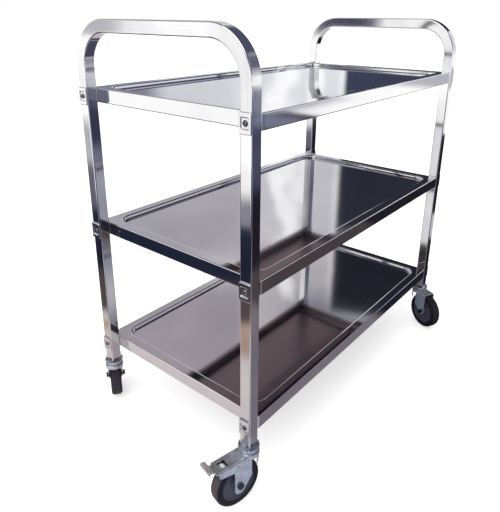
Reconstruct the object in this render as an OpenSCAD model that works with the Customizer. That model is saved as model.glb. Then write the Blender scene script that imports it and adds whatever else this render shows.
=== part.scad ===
// Three-shelf stainless steel kitchen trolley on four swivel casters.
// X runs along the shelves, Y across them and Z up. The origin lies on the
// floor under the middle of the trolley. Sizes are in millimetres.

/* [Overall] */
// Length over the two end frames
cart_l = 860; // [700:10:1100]
// Width over the legs
cart_w = 450; // [380:10:600]
// Height of the push handles above the floor
cart_h = 900; // [870:10:1000]

/* [End frames] */
// Side of the square tube
tube = 25; // [22:1:30]
// Wall of the square tube
tube_wall = 1.2; // [1:0.1:1.8]
// Outer radius along the edges of the tube
tube_edge_r = 2.5; // [2:0.25:3.5]
// Outer radius of the two bends of a handle
bend_r = 90; // [60:5:110]

/* [Shelves] */
// Height of the lowest shelf's border above the floor
shelf_z = 183; // [170:1:210]
// Rise from one shelf to the next
shelf_pitch = 292; // [260:1:300]
// Thickness of the shelf sheet
sheet = 1; // [0.8:0.1:1.4]
// Height of the folded skirt
skirt_h = 29; // [26:1:34]
// Width of the hem turned in under the skirt
hem_w = 12; // [9:1:16]
// Outer radius of the folds along the top and foot of the skirt
fold_r = 2; // [1.6:0.1:3]
// Radius of the four upright corners
shelf_corner_r = 5; // [4:0.5:8]
// Width of the raised border
border_w = 20; // [16:1:30]
// Depth of the pressed panel below the border
panel_drop = 8; // [8:0.5:10]
// Inner radius of the two bends in the pressed step
step_r = 3; // [2:0.25:3]
// Corner radius of the pressed panel where it leaves the border
panel_r = 35; // [25:1:50]

/* [Shelf stiffeners] */
// Width of the raised web of the channel
rib_w = 60; // [40:2:90]
// Depth of the channel
rib_h = 14; // [8:1:16]
// Width of each welded flange
rib_flange = 12; // [8:1:20]
// Distance from the end of the channel to the pressed step
rib_end = 40; // [10:5:100]

/* [Joint plates] */
// Height of a plate on the leg
plate_h = 35; // [32:1:42]
// How far a plate stands off the leg
plate_proud = 3; // [2.8:0.1:4]
// Thickness of the plate
plate_sheet = 0.8; // [0.6:0.1:1]
// Height of the pressed pocket round the bolt
pocket_h = 20.5; // [18:0.5:23]
// Width of the rim left on each side of the pocket
pocket_rim = 3; // [2.5:0.25:3.5]
// Corner radius of the pocket
pocket_r = 3; // [2.5:0.25:4]

/* [Shelf bolts] */
// Diameter of the bolt's shank
bolt_d = 6; // [5:0.5:7]
// Diameter of the bolt's round head
bolt_head_d = 11; // [10:0.5:12]
// Height of the bolt's round head
bolt_head_h = 3.3; // [2.5:0.1:4]
// Width over the flats of the hexagon socket
bolt_socket = 5; // [3:0.5:5]
// Width over the flats of the nut
nut_af = 10; // [9:0.5:11]
// Height of the nut
nut_h = 5; // [4:0.5:6]
// Outer diameter of the washer
washer_d = 12.5; // [11:0.5:14]
// Thickness of the washer
washer_t = 1.2; // [0.8:0.1:1.6]
// Thread left standing out of the nut
bolt_spare = 3; // [1:0.5:6]
// Clearance between a shank and its hole, on the radius
hole_gap = 0.2; // [0.1:0.05:0.4]

/* [Wheels] */
// Radius of the wheel over the tyre
wheel_r = 51; // [48:0.5:54]
// Width of the tyre
tyre_w = 26; // [22:1:30]
// Depth of the tyre
tyre_t = 14; // [10:0.5:16]
// Radius of the tyre's shoulders
shoulder_r = 6.5; // [4:0.5:8]
// How far the wheel's axle trails the swivel axis
trail = 33.5; // [30:0.5:37]
// Outer diameter of the sleeve the wheel turns on
sleeve_d = 12; // [11:0.5:13]
// Diameter of the axle bolt
axle_d = 8; // [7:0.5:9]
// Width over the flats of the axle bolt's head and nut
axle_af = 12; // [11:0.5:14]
// Height of the axle bolt's head and of its nut
axle_head_h = 4.5; // [3:0.5:6]
// Thread left standing out of the axle's nut
axle_spare = 1; // [0.5:0.5:3]
// Radius of the wheel's boss
boss_r = 11; // [9:0.5:13]
// How far the wheel centre's rim lies inside the tyre's side
hub_inset = 1.5; // [1:0.25:3]
// How far the web of the wheel centre is dished below its rim
hub_dish = 3; // [2:0.25:5]
// Running clearance between the wheel and its sleeve, on the radius
run_gap = 0.08; // [0.04:0.02:0.1]
// Clearance between the wheel's boss and a cheek
side_gap = 0.4; // [0.3:0.1:0.8]

/* [Forks] */
// Thickness of the fork's sheet
fork_t = 2.5; // [2:0.1:3]
// Clearance between the tyre and the top of the fork
fork_gap = 4.5; // [3.5:0.25:6]
// Clearance between the tyre and a cheek
cheek_gap = 2.3; // [2:0.1:4]
// Outer radius of the fold between the top and the cheeks
cheek_fold_r = 4; // [3:0.25:5]
// How far the nose stops short of the wheel's outer edge
nose_short = 4; // [0:0.5:8]
// Depth of the fork's side at the nose
nose_h = 14; // [12:0.5:18]
// Slope of the lower edge of the nose
nose_slope = 9.5; // [5:0.5:12]
// Radius of the rounded foot of a braked fork's cheek
foot_r = 12; // [11:0.5:13]
// How far the middle of that foot lies below the axle
foot_drop = 7.5; // [5:0.5:9]
// Radius of the rounded foot of a plain fork's cheek, round its axle
plain_foot_r = 10; // [9.5:0.5:12]
// Depth of the collar round the swivel head
collar_h = 8; // [6:0.5:10]
// How far the knee of a cheek's leading edge lies before the swivel axis
knee_ahead = 6; // [4:0.5:8]
// How far that knee lies below the top of the fork
knee_down = 31; // [28:0.5:36]
// Length of the window in the nose of a braked fork
window_l = 19; // [16:0.5:22]
// Width of that window
window_w = 17; // [12:0.5:20]

/* [Swivel heads] */
// Clearance between the leg's corners and the rim of the cap
cap_gap = 3; // [1:0.25:4]
// Thickness of the cap's rim
cap_t = 1.5; // [1:0.1:2]
// Depth of the cap round the foot of the leg
cap_h = 3; // [2:0.5:5]
// Height of the fixed race under the leg
race_h = 3.9; // [3:0.1:5]
// Height of the fork's raised race
fork_race_h = 2.5; // [2:0.1:3]
// Slot left between the two races
race_slot = 1.6; // [1:0.1:2]
// Diameter of a bearing ball
ball_d = 5; // [4:0.25:5.5]
// Number of balls in a swivel head
balls = 12; // [8:1:16]
// Diameter of the kingpin
kingpin_d = 12; // [10:0.5:13]
// Diameter of the kingpin's riveted head
rivet_d = 18; // [16:0.5:20]
// Height of the kingpin's riveted head
rivet_h = 3; // [2:0.5:4]
// Diameter of the stem in the leg
stem_d = 10; // [8:0.5:12]
// Length of the stem in the leg
stem_l = 38; // [30:1:45]
// Length of the plug that grips the stem in the leg
plug_l = 32; // [24:1:36]

/* [Brakes] */
// Diameter of the pedal's pin
pin_d = 4; // [3:0.25:5]
// How far the pin lies behind the tip of the nose
pin_back = 8.5; // [7:0.5:10]
// How far the pin lies below the top of the fork
pin_down = 7.5; // [7:0.25:9]
// Thickness of the pedal's sheet
pedal_t = 2; // [1.5:0.1:2.5]
// How far the pedal reaches past the tip of the nose
pedal_reach = 21; // [16:0.5:26]
// Height of the pedal's lip above the top of the fork
pedal_rise = 11; // [7:0.5:14]
// Width of the pedal's lip
pedal_w = 33; // [28:0.5:36]
// Width of the pedal's waist
pedal_waist = 22; // [16:0.5:26]
// Clearance between the brake shoe and the tyre when the brake is off
shoe_gap = 2; // [2:0.1:3]
// Width of the brake shoe
shoe_w = 20; // [14:0.5:24]

/* [Where the casters point] */
// Direction in which the front left wheel trails
front_left_angle = 167; // [150:1:190]
// Direction in which the front right wheel trails
front_right_angle = -116; // [-130:1:-90]
// Direction in which the rear left wheel trails
rear_left_angle = 56; // [50:1:90]
// Direction in which the rear right wheel trails
rear_right_angle = 347; // [330:1:370]

/* [Hidden] */
$fn = 48;

// Corners: side along X, side along Y and the way the wheel trails
front_left = [-1, -1, front_left_angle];
front_right = [1, -1, front_right_angle];
rear_left = [-1, 1, rear_left_angle];
rear_right = [1, 1, rear_right_angle];

leg_x = cart_l / 2 - tube / 2;
leg_y = cart_w / 2 - tube / 2;
top_z = shelf_z + 2 * shelf_pitch;
middle_z = shelf_z + shelf_pitch;
shelf_l = cart_l - 2 * tube;
step_w = 2 * step_r + sheet;
bolt_z = -skirt_h / 2;
pocket_w = tube - 2 * pocket_rim;
plate_step_r = 0.6;
plate_fold_r = 1.2;
plate_drop = plate_proud - plate_sheet;
// Share of the bolt head's height that lies under its hexagon socket
socket_floor = 0.35;
// Clearance between two pieces that are clamped face to face
seat_gap = 0.02;

// Heights of a caster, from the wheel up to the foot of the leg
fork_top = 2 * wheel_r + fork_gap + fork_t;
race_z = fork_top + fork_race_h;
fixed_race_z = race_z + race_slot;
leg_z = fixed_race_z + race_h;
leg_corner_r = sqrt(2) * (tube / 2 - tube_edge_r) + tube_edge_r;
cap_r = leg_corner_r + cap_gap + cap_t;
race_inset = 2.3;
race_r = cap_r - race_inset;
ball_inset = 4;
ball_ring_r = race_r - ball_inset;
groove_gap = 0.06;
// How far the arm of a fork stays inside its collar
collar_lap = 0.3;
rivet_gap = 0.2;

// Widths of a fork and places along its side
cheek_in = tyre_w / 2 + cheek_gap;
cheek_out = cheek_in + fork_t;
nose_r = trail + wheel_r - nose_short;
nose_corner_r = 5;
pin_at = [nose_r - pin_back, fork_top - pin_down];
foot_at = [trail, wheel_r - foot_drop];
plain_foot_at = [trail, wheel_r];
knee_at = [-knee_ahead, fork_top - knee_down];
// Length over which the leading edge bends from the knee's slant to the collar
knee_l = 9;
collar_at = [-sqrt(pow(cap_r, 2) - pow(cheek_out, 2)), fork_top - collar_h];
hub_r = wheel_r - tyre_t;
bead = 1;
boss_edge = 1;
web_bend = 6;
hub_lip = 3;
pin_wall = 1.6;
barrel_r = pin_d / 2 + pin_wall;
pin_gap = 0.06;
window_r = 1.5;
// How far the window reaches past the pedal's pin
window_past = 1;
// Round dimple in each cheek, its place behind the axle and below the top
dimple_d = 5;
dimple_back = 5;
dimple_down = 7;
dimple_at = [trail + dimple_back, fork_top - dimple_down];
// Clearance between the pedal and each cheek
pedal_side_gap = 0.8;
// Length of the pedal's flat lip
lip_l = 9;
// Steps of the pedal's sheet: past the nose, up its kick, on to the lip and over its edge
pedal_run = 1.5;
pedal_kick = 4;
lip_flat = 6;
lip_ease = 1.5;
lip_out = 0.6;
lip_down = 2.5;
// Release tab: its flat and slanted lengths, its fall and its clearance in the window
tab_flat = 8;
tab_slant = 6;
tab_ease = 0.6;
tab_fall = 4;
tab_gap = 2.5;
// Lengths over which the pedal narrows behind the nose
neck_l = 1;
waist_l = 7;
// Angle at the axle from the pedal's pin back to the tip of its shoe
shoe_back = 5.4;
cut = 1;

function arc(c, r, a0, a1, n = 8) =
    [for (i = [0:n]) c + r * [cos(a0 + (a1 - a0) * i / n), sin(a0 + (a1 - a0) * i / n)]];

function bend(p, q, s, n = 6) =
    [for (i = [1:n]) let (t = i / n) (1 - t) * (1 - t) * p + 2 * t * (1 - t) * q + t * t * s];

// Flat shapes

module rounded(l, w, r) {
    square([l - 2 * r, w], center = true);
    square([l, w - 2 * r], center = true);
    for (sx = [-1, 1], sy = [-1, 1])
        translate([sx * (l / 2 - r), sy * (w / 2 - r)])
            circle(r);
}

// Quarter of a ring that opens towards +X and +Y
module quarter_ring(r, t) {
    intersection() {
        difference() {
            circle(r);
            circle(r - t);
        }
        square(r + cut);
    }
}

// Strip of sheet that follows a line of points
module strip(points, t) {
    for (i = [0:len(points) - 2]) {
        run = points[i + 1] - points[i];
        translate(points[i])
            rotate(atan2(run[1], run[0]))
                translate([0, -t / 2])
                    square([norm(run), t]);
    }
    for (p = points)
        translate(p)
            circle(t / 2);
}

// Solids that more than one piece is made of

// A section carried round a rounded rectangle: X of the section is the
// distance from the middle of the corner arcs
module carried_round(l, w, r) {
    for (a = [0, 180]) {
        rotate(a)
            translate([l / 2 - r, 0, 0])
                rotate([90, 0, 0])
                    linear_extrude(w - 2 * r, center = true)
                        children();
        rotate(a + 90)
            translate([w / 2 - r, 0, 0])
                rotate([90, 0, 0])
                    linear_extrude(l - 2 * r, center = true)
                        children();
    }
    for (sx = [-1, 1], sy = [-1, 1])
        translate([sx * (l / 2 - r), sy * (w / 2 - r), 0])
            rotate(sx > 0 ? (sy > 0 ? 0 : -90) : (sy > 0 ? 90 : 180))
                rotate_extrude(angle = 90)
                    children();
}

// Folded edge of a pressed pan, top fold and skirt; n is the steps in a bend
module edge_section(r, depth, fold, t, n) {
    fold_at = [r - fold, -fold];
    polygon(concat(
        arc(fold_at, fold, 90, 0, n),
        [[r, -depth], [r - t, -depth]],
        arc(fold_at, fold - t, 0, 90, n)
    ));
}

// Pressed step of a pan: a bend down, a short wall and a bend back to flat
module step_section(r, drop, bend_in, t, n) {
    bend_out = bend_in + t;
    upper = [r, -bend_out];
    lower = [r - bend_in - bend_out, bend_in - drop];
    polygon(concat(
        arc(upper, bend_out, 90, 180, n),
        arc(lower, bend_in, 0, -90, n),
        arc(lower, bend_out, -90, 0, n),
        arc(upper, bend_in, 180, 90, n)
    ));
}

// Sheet pan with a folded skirt, a flat border and a sunken floor.
// Its border lies at Z = 0.
module pressed_pan(l, w, corner, depth, fold, t, in_l, in_w, in_r, bend_in, drop, n) {
    step = 2 * bend_in + t;
    carried_round(l, w, corner)
        edge_section(corner, depth, fold, t, n);
    translate([0, 0, -t])
        linear_extrude(t)
            difference() {
                rounded(l - 2 * fold, w - 2 * fold, corner - fold);
                rounded(in_l, in_w, in_r);
            }
    carried_round(in_l, in_w, in_r)
        step_section(in_r, drop, bend_in, t, n);
    translate([0, 0, -drop - t])
        linear_extrude(t)
            rounded(in_l - 2 * step, in_w - 2 * step, in_r - step);
}

// Rod along X, from x = 0 outwards
module rod_x(d, l) {
    rotate([0, 90, 0])
        cylinder(d = d, h = l);
}

// Hexagon prism along X with the given width over its flats
module hex_x(af, l) {
    rotate([0, 90, 0])
        cylinder(d = af / cos(30), h = l, $fn = 6);
}

// Places

// Each of the four joints of the shelf at height z, with +X pointing out
module at_joints(z) {
    for (sx = [-1, 1], sy = [-1, 1])
        translate([sx * cart_l / 2, sy * leg_y, z + bolt_z])
            rotate(sx > 0 ? 0 : 180)
                children();
}

module at_leg(corner) {
    translate([corner[0] * leg_x, corner[1] * leg_y, 0])
        children();
}

// A caster as it stands at rest: +X is the way the wheel trails
module at_caster(corner) {
    at_leg(corner)
        rotate(corner[2])
            children();
}

// Round piece on the wheel's axle: the section's X is the radius and its
// Y is the distance along the axle
module on_axle() {
    translate([trail, 0, wheel_r])
        rotate([90, 0, 0])
            rotate_extrude()
                children();
}

// End frame

module bent_tube(side, edge_r, open) {
    mid_r = bend_r - tube / 2;
    for (sy = [-1, 1]) {
        translate([0, sy * leg_y, leg_z - open])
            linear_extrude(cart_h - bend_r - leg_z + open)
                rounded(side, side, edge_r);
        translate([0, sy * (cart_w / 2 - bend_r), cart_h - bend_r])
            rotate([90, 0, sy * 90])
                rotate_extrude(angle = 90)
                    translate([mid_r, 0])
                        rounded(side, side, edge_r);
    }
    translate([0, 0, cart_h - tube / 2])
        rotate([90, 0, 0])
            linear_extrude(cart_w - 2 * bend_r, center = true)
                rounded(side, side, edge_r);
}

module end_frame(side) {
    color("silver")
        translate([side * leg_x, 0, 0])
            difference() {
                bent_tube(tube, tube_edge_r, 0);
                bent_tube(tube - 2 * tube_wall, tube_edge_r - tube_wall, cut);
                for (z = [shelf_z, middle_z, top_z], sy = [-1, 1])
                    translate([-tube, sy * leg_y, z + bolt_z])
                        rod_x(bolt_d + 2 * hole_gap, 2 * tube);
            }
}

// Shelves

// Hem along one side, turned in at the foot of the skirt
module hem(l) {
    rotate([90, 0, 0])
        linear_extrude(l, center = true) {
            translate([-fold_r, fold_r])
                mirror([0, 1])
                    quarter_ring(fold_r, sheet);
            translate([-hem_w, 0])
                square([hem_w - fold_r, sheet]);
        }
}

module shelf(z) {
    hem_end = shelf_corner_r + hem_w;
    color("gainsboro")
        translate([0, 0, z])
            difference() {
                union() {
                    pressed_pan(shelf_l, cart_w, shelf_corner_r, skirt_h - fold_r, fold_r, sheet,
                        shelf_l - 2 * border_w, cart_w - 2 * border_w, panel_r, step_r, panel_drop, 6);
                    carried_round(shelf_l, cart_w, shelf_corner_r)
                        translate([shelf_corner_r - fold_r, fold_r - skirt_h])
                            mirror([0, 1])
                                quarter_ring(fold_r, sheet);
                    for (a = [0, 180]) {
                        rotate(a)
                            translate([shelf_l / 2, 0, -skirt_h])
                                hem(cart_w - 2 * hem_end);
                        rotate(a + 90)
                            translate([cart_w / 2, 0, -skirt_h])
                                hem(shelf_l - 2 * hem_end);
                    }
                }
                for (sx = [-1, 1], sy = [-1, 1])
                    translate([sx * (shelf_l / 2 - sheet) - tube / 2, sy * leg_y, bolt_z])
                        rod_x(bolt_d + 2 * hole_gap, tube);
            }
}

// Channel welded along the middle of the shelf's underside
module stiffener(z) {
    rib_l = shelf_l - 2 * (border_w + step_w + rib_end);
    color("lightgray")
        translate([0, 0, z - panel_drop - sheet])
            rotate([90, 0, 90])
                linear_extrude(rib_l, center = true) {
                    translate([-rib_w / 2, -rib_h])
                        square([rib_w, sheet]);
                    for (side = [0, 1])
                        mirror([side, 0]) {
                            translate([rib_w / 2 - sheet, -rib_h])
                                square([sheet, rib_h]);
                            translate([rib_w / 2 - sheet, -sheet])
                                square([rib_flange, sheet]);
                        }
                }
}

// Shelf joints

module joint_plates(z) {
    color("lightsteelblue")
        at_joints(z)
            difference() {
                translate([plate_proud, 0, 0])
                    rotate([0, 90, 0])
                        pressed_pan(plate_h, tube, tube_edge_r, plate_proud, plate_fold_r, plate_sheet,
                            pocket_h, pocket_w, pocket_r, plate_step_r, plate_drop, 3);
                translate([-cut, 0, 0])
                    rod_x(bolt_d + 2 * hole_gap, plate_proud);
            }
}

module bolts(z) {
    dome_r = (pow(bolt_head_d / 2, 2) + pow(bolt_head_h, 2)) / (2 * bolt_head_h);
    dome = arc([0, bolt_head_h - dome_r], dome_r, asin(1 - bolt_head_h / dome_r), 90, 6);
    shank = plate_sheet + tube + sheet + washer_t + nut_h + bolt_spare;
    color("dimgray")
        at_joints(z)
            translate([plate_sheet, 0, 0])
                difference() {
                    union() {
                        rotate([0, 90, 0])
                            rotate_extrude()
                                polygon(concat([[0, 0]], dome));
                        translate([-shank, 0, 0])
                            rod_x(bolt_d, shank + bolt_head_h / 2);
                    }
                    translate([bolt_head_h * socket_floor, 0, 0])
                        hex_x(bolt_socket, bolt_head_h);
                }
}

module washers(z) {
    color("silver")
        at_joints(z)
            translate([-tube - sheet - washer_t, 0, 0])
                difference() {
                    rod_x(washer_d, washer_t);
                    translate([-cut, 0, 0])
                        rod_x(bolt_d + 2 * hole_gap, washer_t + 2 * cut);
                }
}

module nuts(z) {
    color("silver")
        at_joints(z)
            translate([-tube - sheet - washer_t - nut_h, 0, 0])
                difference() {
                    hex_x(nut_af, nut_h);
                    translate([-cut, 0, 0])
                        rod_x(bolt_d + 2 * hole_gap, nut_h + 2 * cut);
                }
}

// Swivel heads

// Nylon plug that fills the foot of the leg and grips the stem
module plug(corner) {
    side = tube - 2 * (tube_wall + hole_gap / 2);
    color("dimgray")
        at_leg(corner)
            translate([0, 0, leg_z])
                difference() {
                    linear_extrude(plug_l)
                        rounded(side, side, tube_edge_r - tube_wall);
                    translate([0, 0, -cut])
                        cylinder(d = stem_d + hole_gap, h = plug_l + 2 * cut);
                }
}

// Stem, cap round the leg's foot, fixed race and kingpin, in one piece
module stem(corner) {
    rivet_z = fork_top - fork_t - rivet_gap;
    color("lightsteelblue")
        at_leg(corner)
            difference() {
                union() {
                    translate([0, 0, rivet_z - rivet_h])
                        cylinder(d = rivet_d, h = rivet_h);
                    translate([0, 0, rivet_z - cut])
                        cylinder(d = kingpin_d, h = leg_z - rivet_z);
                    translate([0, 0, fixed_race_z])
                        cylinder(r = race_r, h = race_h);
                    translate([0, 0, leg_z - cap_t])
                        cylinder(r1 = race_r, r2 = cap_r, h = cap_t);
                    translate([0, 0, leg_z])
                        difference() {
                            cylinder(r = cap_r, h = cap_h);
                            cylinder(r = cap_r - cap_t, h = cap_h + cut);
                        }
                    translate([0, 0, leg_z - cut])
                        cylinder(d = stem_d, h = stem_l + cut);
                }
                translate([0, 0, fixed_race_z - race_slot / 2])
                    rotate_extrude()
                        translate([ball_ring_r, 0])
                            circle(d = ball_d + 2 * groove_gap);
            }
}

module ball_ring(corner) {
    color("white")
        at_caster(corner)
            for (i = [0:balls - 1])
                rotate(360 * i / balls)
                    translate([ball_ring_r, 0, race_z + race_slot / 2])
                        sphere(d = ball_d);
}

// Forks

// Trailing edge of a braked fork, round its nose and back to its foot
function nose_edge() =
    let (
        slope = tan(nose_slope), ease = nose_corner_r / cos(nose_slope),
        low_z = fork_top - nose_h,
        fillet_x = foot_at[0] + foot_r + nose_corner_r,
        tip_x = nose_r - nose_corner_r
    )
    concat(
        [[nose_r, fork_top + cut]],
        arc([tip_x, low_z + (tip_x - nose_r) * slope + ease], nose_corner_r, 0, nose_slope - 90),
        arc([fillet_x, low_z + (fillet_x - nose_r) * slope - ease], nose_corner_r, 90 + nose_slope, 180)
    );

// Trailing edge of a plain fork, straight down to its foot
function plain_edge() =
    arc([trail + plain_foot_r - nose_corner_r, fork_top + cut - nose_corner_r], nose_corner_r, 90, 0);

// Side of the fork: X is the distance from the swivel axis, Y the height
module fork_side(edge, foot, r) {
    span = knee_at - foot;
    touch = atan2(span[1], span[0]) + acos(r / norm(span));
    slant = [cos(touch + 90), sin(touch + 90)];
    polygon(concat(
        [[-cap_r - cut, fork_top + cut]],
        edge,
        arc(foot, r, 0, touch - 360, 16),
        [knee_at],
        bend(knee_at, knee_at - knee_l * slant, collar_at),
        [[-cap_r - cut, collar_at[1]]]
    ));
}

// Cross section of the fork's arm, with its two long folds
module arm_section(half_w, top, r) {
    translate([-half_w, 0])
        square([2 * half_w, top - r]);
    translate([-half_w + r, 0])
        square([2 * (half_w - r), top]);
    for (side = [-1, 1])
        translate([side * (half_w - r), top - r])
            circle(r);
}

module along_arm(from, to) {
    translate([from, 0, 0])
        rotate([90, 0, 90])
            linear_extrude(to - from)
                children();
}

// Arm seen from above: round about the swivel head, then straight to its end
module arm_plan(reach, corner_r) {
    circle(cap_r - collar_lap);
    intersection() {
        rounded(2 * reach, 2 * cheek_out, corner_r);
        translate([0, -cap_r])
            square([reach + cut, 2 * cap_r]);
    }
}

module fork_body(braked) {
    reach = braked ? nose_r : trail + plain_foot_r + 2 * nose_corner_r;
    difference() {
        intersection() {
            rotate([90, 0, 0])
                linear_extrude(2 * cap_r, center = true) {
                    if (braked)
                        fork_side(nose_edge(), foot_at, foot_r);
                    else
                        fork_side(plain_edge(), plain_foot_at, plain_foot_r);
                }
            union() {
                intersection() {
                    along_arm(-cap_r, reach)
                        arm_section(cheek_out, fork_top, cheek_fold_r);
                    linear_extrude(fork_top + cut)
                        arm_plan(reach, nose_corner_r);
                }
                translate([0, 0, collar_at[1]])
                    cylinder(r = cap_r, h = collar_h);
            }
        }
        along_arm(collar_at[0] - cut, nose_r + cut)
            arm_section(cheek_in, fork_top - fork_t, cheek_fold_r - fork_t);
        cylinder(r = cap_r - fork_t, h = fork_top - fork_t);
    }
}

module fork(corner, braked) {
    axle_hole = axle_d + 2 * hole_gap;
    color("lightsteelblue")
        at_caster(corner)
            difference() {
                union() {
                    fork_body(braked);
                    translate([0, 0, fork_top])
                        cylinder(r = race_r, h = fork_race_h);
                }
                translate([0, 0, fork_top - fork_t - cut])
                    cylinder(d = kingpin_d + 2 * run_gap, h = 2 * fork_t + fork_race_h + cut);
                translate([0, 0, race_z + race_slot / 2])
                    rotate_extrude()
                        translate([ball_ring_r, 0])
                            circle(d = ball_d + 2 * groove_gap);
                translate([trail, 0, wheel_r])
                    rotate([90, 0, 0])
                        cylinder(d = axle_hole, h = 3 * cheek_out, center = true);
                if (braked) {
                    for (side = [-1, 1])
                        translate([dimple_at[0], side * cheek_out, dimple_at[1]])
                            rotate([90, 0, 0])
                                cylinder(d = dimple_d, h = fork_t, center = true);
                    translate([pin_at[0] + window_past - window_l / 2, 0, fork_top - 2 * fork_t])
                        linear_extrude(3 * fork_t)
                            rounded(window_l, window_w, window_r);
                    translate([pin_at[0], 0, pin_at[1]])
                        rotate([90, 0, 0])
                            cylinder(d = pin_d + pin_gap, h = 3 * cheek_out, center = true);
                }
            }
}

// Wheels

module sleeve(corner) {
    color("gray")
        at_caster(corner)
            on_axle()
                translate([axle_d / 2 + hole_gap, seat_gap - cheek_in])
                    square([(sleeve_d - axle_d) / 2 - hole_gap, 2 * (cheek_in - seat_gap)]);
}

// Place of the axle, with +X along it towards its nut
module at_axle(corner) {
    at_caster(corner)
        translate([trail, 0, wheel_r])
            rotate([0, 0, -90])
                children();
}

// Axle bolt
module axle(corner) {
    color("dimgray")
        at_axle(corner) {
            translate([-cheek_out - seat_gap, 0, 0])
                rod_x(axle_d, 2 * (cheek_out + seat_gap) + axle_head_h + axle_spare);
            translate([-cheek_out - seat_gap - axle_head_h, 0, 0])
                hex_x(axle_af, axle_head_h);
        }
}

module axle_nut(corner) {
    color("gray")
        at_axle(corner)
            translate([cheek_out + seat_gap, 0, 0])
                difference() {
                    hex_x(axle_af, axle_head_h);
                    translate([-cut, 0, 0])
                        rod_x(axle_d + hole_gap, axle_head_h + 2 * cut);
                }
}

// Moulded wheel centre with a dished web on each side
module hub(corner) {
    bore = sleeve_d / 2 + run_gap;
    half = cheek_in - side_gap;
    rim = tyre_w / 2 - hub_inset;
    web = rim - hub_dish;
    face = concat(
        [[bore, half], [boss_r - boss_edge, half], [boss_r, half - boss_edge]],
        bend([boss_r, half - boss_edge], [boss_r, web], [boss_r + web_bend, web]),
        bend([hub_r - 3 * hub_lip, web], [hub_r - 1.5 * hub_lip, web], [hub_r - hub_lip, rim]),
        [[hub_r, rim]]
    );
    color("slategray")
        at_caster(corner)
            on_axle()
                polygon(concat(face, [for (i = [len(face) - 1:-1:0]) [face[i][0], -face[i][1]]]));
}

module tyre(corner) {
    half = tyre_w / 2;
    color("dimgray")
        at_caster(corner)
            on_axle() {
                translate([hub_r, bead - half])
                    square([2 * bead, tyre_w - 2 * bead]);
                translate([hub_r + bead, -half])
                    square([tyre_t - bead - shoulder_r, tyre_w]);
                translate([hub_r + bead, shoulder_r - half])
                    square([tyre_t - bead, tyre_w - 2 * shoulder_r]);
                for (side = [-1, 1])
                    translate([wheel_r - shoulder_r, side * (half - shoulder_r)])
                        circle(shoulder_r);
            }
}

// Brakes

module brake_pin(corner) {
    color("silver")
        at_caster(corner)
            translate([pin_at[0], 0, pin_at[1]])
                rotate([90, 0, 0])
                    cylinder(d = pin_d, h = 2 * cheek_out, center = true);
}

// Half width of the pedal's outline at the distance r
function pedal_half(r) =
    let (neck = nose_r + neck_l, waist = neck + waist_l, lip = nose_r + pedal_reach - lip_l)
    r < neck ? cheek_in - pedal_side_gap
    : r < waist ? pedal_blend(cheek_in - pedal_side_gap, pedal_waist / 2, (r - neck) / (waist - neck))
    : r < lip ? pedal_blend(pedal_waist / 2, pedal_w / 2, (r - waist) / (lip - waist))
    : pedal_w / 2;

function pedal_blend(a, b, t) = a + (b - a) * (1 - cos(180 * t)) / 2;

module pedal_outline() {
    start = pin_at[0] - barrel_r;
    end = nose_r + pedal_reach + pedal_t;
    steps = 24;
    stations = [for (i = [0:steps]) start + (end - start) * i / steps];
    polygon(concat(
        [for (r = stations) [r, pedal_half(r)]],
        [for (i = [steps:-1:0]) [stations[i], -pedal_half(stations[i])]]
    ));
}

// Pedal: a sheet that wraps its pin, runs out under the nose and rises to
// a lip, with a release tab behind the pin and a shoe towards the tyre
module brake_pedal(corner) {
    axle_at = [trail, wheel_r];
    pin_dir = atan2(pin_at[1] - axle_at[1], pin_at[0] - axle_at[0]);
    shoe_dir = pin_dir - shoe_back;
    shoe_r = wheel_r + shoe_gap + pedal_t / 2;
    shoe_at = axle_at + shoe_r * [cos(shoe_dir), sin(shoe_dir)];
    sheet_z = pin_at[1] + barrel_r - pedal_t / 2;
    lip_z = fork_top + pedal_rise;
    reach = nose_r + pedal_reach;
    color("slategray")
        at_caster(corner)
            difference() {
                union() {
                    intersection() {
                        rotate([90, 0, 0])
                            linear_extrude(2 * pedal_w, center = true) {
                                translate(pin_at)
                                    circle(barrel_r);
                                strip([
                                    [pin_at[0], sheet_z], [nose_r + pedal_run, sheet_z],
                                    [nose_r + pedal_run + pedal_kick, sheet_z + pedal_kick],
                                    [reach - lip_l, lip_z - lip_ease], [reach - lip_flat, lip_z],
                                    [reach, lip_z], [reach + lip_out, lip_z - lip_down]
                                ], pedal_t);
                            }
                        linear_extrude(lip_z + pedal_rise)
                            pedal_outline();
                    }
                    rotate([90, 0, 0])
                        linear_extrude(shoe_w, center = true)
                            strip([pin_at, shoe_at], pedal_t);
                    rotate([90, 0, 0])
                        linear_extrude(window_w - 2 * tab_gap, center = true)
                            strip([
                                pin_at + [0, barrel_r - pedal_t / 2],
                                pin_at + [-tab_flat, barrel_r - tab_ease],
                                pin_at + [-tab_flat - tab_slant, barrel_r - tab_fall]
                            ], pedal_t);
                }
                translate([pin_at[0], 0, pin_at[1]])
                    rotate([90, 0, 0])
                        cylinder(d = pin_d + 2 * run_gap, h = 2 * pedal_w, center = true);
            }
}

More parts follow.
